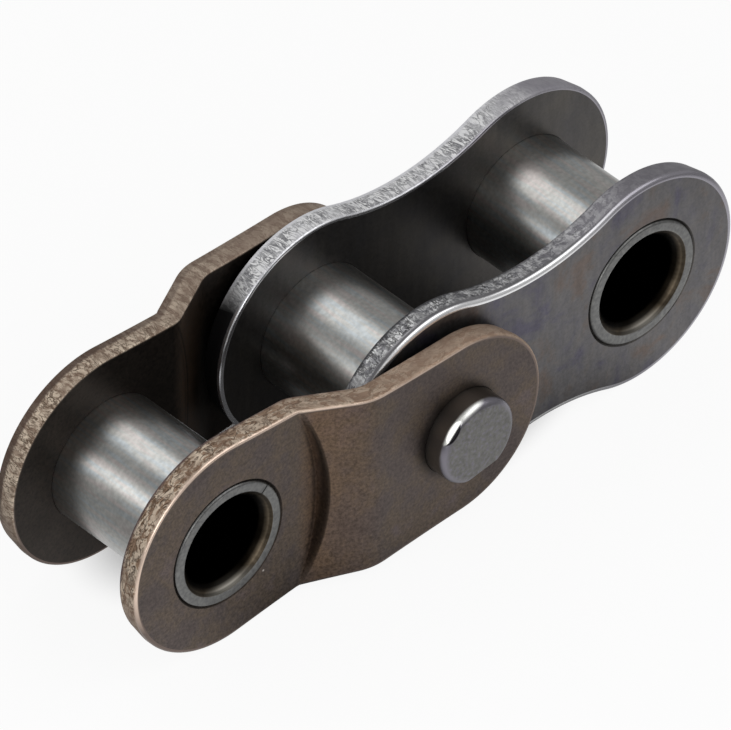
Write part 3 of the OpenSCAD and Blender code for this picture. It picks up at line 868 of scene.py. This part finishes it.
def makePin(materials):
    end = pinHigh.y
    quarter = [math.radians(5 * i) for i in range(19)]
    rolled = [(pinRadius - pin["roundIn"] * (1 - math.sin(t)), pin["roundDown"] * (1 - math.cos(t))) for t in quarter]
    flatEnd = [(0.35, 0.0), (0.75, 0.0), (1.0, 0.0), (1.2, 0.0), (1.32, 0.0)]
    farSide = flatEnd + rolled
    slant = math.radians(pin["stakeSlant"])
    seat = end - offsetPlate["wideOut"]
    rings = [(r, -end + d) for r, d in farSide]
    rings += [(pinRadius, -end + d) for d in (0.34, seat / 2, seat - 0.02, seat)]
    rings += [(pinRadius, -2.0), (pinRadius, 2.0), (pinRadius, end - 0.34)]
    rings += [(r, end - d) for r, d in reversed(farSide)]
    flatTurn = math.radians(pin["flatTurn"])
    stakeTurn = math.radians(pin["stakeTurn"])
    flatWay = (math.sin(flatTurn), -math.cos(flatTurn))
    stakeWay = (math.cos(stakeTurn), math.sin(stakeTurn))
    points = [(0, -end, 0)]
    for r, y in rings:
        cuts = []
        if y < -end + seat - 0.01:
            cuts.append((flatWay, pin["flatDistance"] - 0.5 * max(0.0, pinRadius - r)))
        if y < 0:
            cuts.append((stakeWay, (pin["stakeReach"] + math.sin(slant) * (y + end)) / math.cos(slant)))
        for i in range(pin["steps"]):
            turn = math.tau * i / pin["steps"]
            x = r * math.cos(turn)
            z = r * math.sin(turn)
            for (wayX, wayZ), limit in cuts:
                past = x * wayX + z * wayZ - limit
                if past > 0:
                    x -= past * wayX
                    z -= past * wayZ
            points.append((x, y, z))
    points.append((0, end, 0))
    count = pin["steps"]
    last = len(points) - 1
    faces = []
    slots = []
    for i in range(count):
        j = (i + 1) % count
        faces.append([0, 1 + i, 1 + j])
        faces.append([last, last - count + j, last - count + i])
        slots += [0, 0]
        for k in range(len(rings) - 1):
            first = 1 + k * count
            faces.append([first + i, first + count + i, first + count + j, first + j])
            slots.append(0)
    piece = addPiece("link_pin_look", points, faces, materials, slots, onOffsetLink)
    carry(piece, "link_pin", "offset_link")


makePin([makeSteel("satinPinSteel", groundSteel["pin"], 0.33, False, finishPin)])
print("pin made")


# floor, light and camera

stage = {
    "floor": "#FFFFFF",
    "floorGlow": 0.92,         # share of the floor that shows plain white, the rest keeps the shadow
    "shadowMiddle": (-9.4, 1.5),  # mm, oval under the link where the floor shows its shadow
    "shadowReach": (10.4, 4.9),   # mm
    "skyLow": 0.45,            # brightness of the surroundings at the horizon
    "skyHigh": 0.36,           # and overhead, so that barrels show a dark strip between the lamps
    "lamps": [                 # direction, distance mm, width mm, height mm, brightness
        ("backLamp", (0.0, 0.544, 0.839), 70, 40, 36, 1.15),
        ("leftLamp", (-0.741, 0.544, 0.394), 70, 50, 18, 1.60),
        ("frontLamp", (0.34, -0.58, 0.74), 80, 80, 60, 1.15),
        ("sideLamp", (-0.60, -0.76, 0.28), 80, 44, 42, 2.0),
    ],
}

# white sweep, plain white to the eye but showing the link's real shadow under it; in the metal it glows with painted
# shade
floorMaterial = bpy.data.materials.new("whiteSweep")
floorMaterial.use_nodes = True
tree = floorMaterial.node_tree
tree.nodes.clear()
ray = addNode(tree, "LightPath")
direct = addNode(tree, "Math", {0: ray.outputs["Is Camera Ray"], 1: ray.outputs["Is Transmission Ray"]},
                 operation="MAXIMUM")
ground = addNode(tree, "TexCoord")
floorZ = cadBox[0][2]
linkMiddle = (Vector(cadBox[0]) + Vector(cadBox[1])) / 2
linkReach = (Vector(cadBox[1]) - Vector(cadBox[0])) / 2
shadeMiddle = (linkMiddle.x, linkMiddle.y + 1 * mm, 0)
shadeReach = (linkReach.x - 7 * mm, linkReach.y - 2 * mm, 1)
fromMiddle = addNode(tree, "VectorMath", {0: ground.outputs["Object"], 1: shadeMiddle}, operation="SUBTRACT")
bothSides = addNode(tree, "VectorMath", {0: fromMiddle.outputs["Vector"]}, operation="ABSOLUTE")
pastLink = addNode(tree, "VectorMath", {0: bothSides.outputs["Vector"], 1: shadeReach}, operation="SUBTRACT")
beyond = addNode(tree, "VectorMath", {0: pastLink.outputs["Vector"], 1: (0, 0, 0)}, operation="MAXIMUM")
away = addNode(tree, "VectorMath", {0: beyond.outputs["Vector"]}, operation="LENGTH")
middleX, middleY = stage["shadowMiddle"]
reachX, reachY = stage["shadowReach"]
oval = addNode(tree, "Mapping", {"Vector": ground.outputs["Object"], "Location": (middleX * mm, middleY * mm, 0),
                                 "Scale": (reachX * mm, reachY * mm, 1e6)}, vector_type="TEXTURE")
outwards = addNode(tree, "VectorMath", {0: oval.outputs["Vector"]}, operation="LENGTH")
clear = addNode(tree, "MapRange", {"Value": outwards.outputs["Value"], "From Min": 0.72, "From Max": 1.15,
                                  "To Min": 0.0, "To Max": stage["floorGlow"]}, interpolation_type="SMOOTHSTEP")
# in the metal the floor's glow is a painted shadow: dark close to the link, bright a little further, dimmer far off
further = addNode(tree, "MapRange", {"Value": away.outputs["Value"], "From Min": 0.0, "From Max": 25 * mm})
paintedShadowInMetal = addNode(tree, "ValToRGB", {"Fac": further.outputs["Result"]},
                   stops=[(0.02, 0.06), (0.18, 0.88), (0.45, 0.88), (1.0, 0.30)])
# and darker around a spot behind the left end, a painted shade
corner = addNode(tree, "VectorMath", {0: ground.outputs["Object"], 1: (-28 * mm, 6 * mm, floorZ)}, operation="DISTANCE")
cornerShade = addNode(tree, "MapRange", {"Value": corner.outputs["Value"], "From Min": 3 * mm, "From Max": 11 * mm,
                                         "To Min": 0.42, "To Max": 1.0})
paintedShadeInMetal = addNode(tree, "Math", {0: paintedShadowInMetal.outputs["Color"], 1: cornerShade.outputs["Result"]}, operation="MULTIPLY")
plain = addNode(tree, "Math", {0: direct.outputs[0], 1: clear.outputs["Result"]}, operation="MULTIPLY")
share = addNode(tree, "Math", {0: plain.outputs[0], 1: ray.outputs["Is Glossy Ray"]}, operation="MAXIMUM")
strength = addNode(tree, "Mix", {0: ray.outputs["Is Glossy Ray"], 2: 1.0, 3: paintedShadeInMetal.outputs[0]},
                   data_type="FLOAT")
matt = addNode(tree, "BsdfDiffuse", {"Color": linear(stage["floor"])})
glow = addNode(tree, "Emission", {"Color": linear(stage["floor"]), "Strength": strength.outputs[0]})
both = addNode(tree, "MixShader", {0: share.outputs[0], 1: matt.outputs[0], 2: glow.outputs[0]})
addNode(tree, "OutputMaterial", {"Surface": both.outputs[0]})
floorMaterial.cycles.emission_sampling = "NONE"
floorMesh = bpy.data.meshes.new("floor")
floorReach = 0.6
floorMesh.from_pydata([(-floorReach, -floorReach, floorZ), (floorReach, -floorReach, floorZ),
                       (floorReach, floorReach, floorZ), (-floorReach, floorReach, floorZ)], [], [[0, 1, 2, 3]])
floorMesh.materials.append(floorMaterial)
floor = bpy.data.objects.new("floor", floorMesh)
bpy.context.scene.collection.objects.link(floor)

world = bpy.data.worlds.new("studio")
bpy.context.scene.world = world
world.use_nodes = True
tree = world.node_tree
tree.nodes.clear()
heading = addNode(tree, "TexCoord")
heights = addNode(tree, "SeparateXYZ", {"Vector": heading.outputs["Generated"]})
level = addNode(tree, "MapRange", {"Value": heights.outputs["Z"], "From Min": 0.1, "From Max": 0.6,
                                   "To Min": stage["skyLow"], "To Max": stage["skyHigh"]})
sky = addNode(tree, "Background", {"Color": linear("#FFFFFF"), "Strength": level.outputs["Result"]})
addNode(tree, "OutputWorld", {"Surface": sky.outputs[0]})

middle = pinPlace * mm
for name, way, distance, width, height, brightness in stage["lamps"]:
    lamp = bpy.data.lights.new(name, "AREA")
    lamp.shape = "RECTANGLE"
    lamp.size = width * mm
    lamp.size_y = height * mm
    lamp.energy = brightness * math.pi * width * mm * height * mm
    holder = bpy.data.objects.new(name, lamp)
    holder.location = middle + Vector(way).normalized() * distance * mm
    holder.rotation_euler = Vector(way).to_track_quat("Z", "Y").to_euler()
    bpy.context.scene.collection.objects.link(holder)

camera = {
    "azimuth": -43.30,         # degrees, matched to the photograph
    "elevation": 41.65,
    "lens": 1200.0,            # mm, so long that the view is almost parallel
    "frameWidth": 24.505,      # mm of the object across the picture
    "right": 0.0134,           # mm from the pin's centre to the picture's centre
    "up": -0.107,
}
azimuth = math.radians(camera["azimuth"])
elevation = math.radians(camera["elevation"])
rightWay = Vector((math.cos(azimuth), math.sin(azimuth), 0))
upWay = Vector((-math.sin(azimuth) * math.sin(elevation), math.cos(azimuth) * math.sin(elevation), math.cos(elevation)))
backWay = rightWay.cross(upWay)
view = bpy.data.cameras.new("camera")
view.lens = camera["lens"]
view.sensor_width = 36.0
viewer = bpy.data.objects.new("camera", view)
target = middle + (rightWay * camera["right"] + upWay * camera["up"]) * mm
spot = target + backWay * camera["frameWidth"] * mm * camera["lens"] / view.sensor_width
viewer.matrix_world = Matrix.Translation(spot) @ Matrix((rightWay, upWay, backWay)).transposed().to_4x4()
bpy.context.scene.collection.objects.link(viewer)
bpy.context.scene.camera = viewer
bpy.context.scene.view_settings.view_transform = "Standard"
print("stage set")
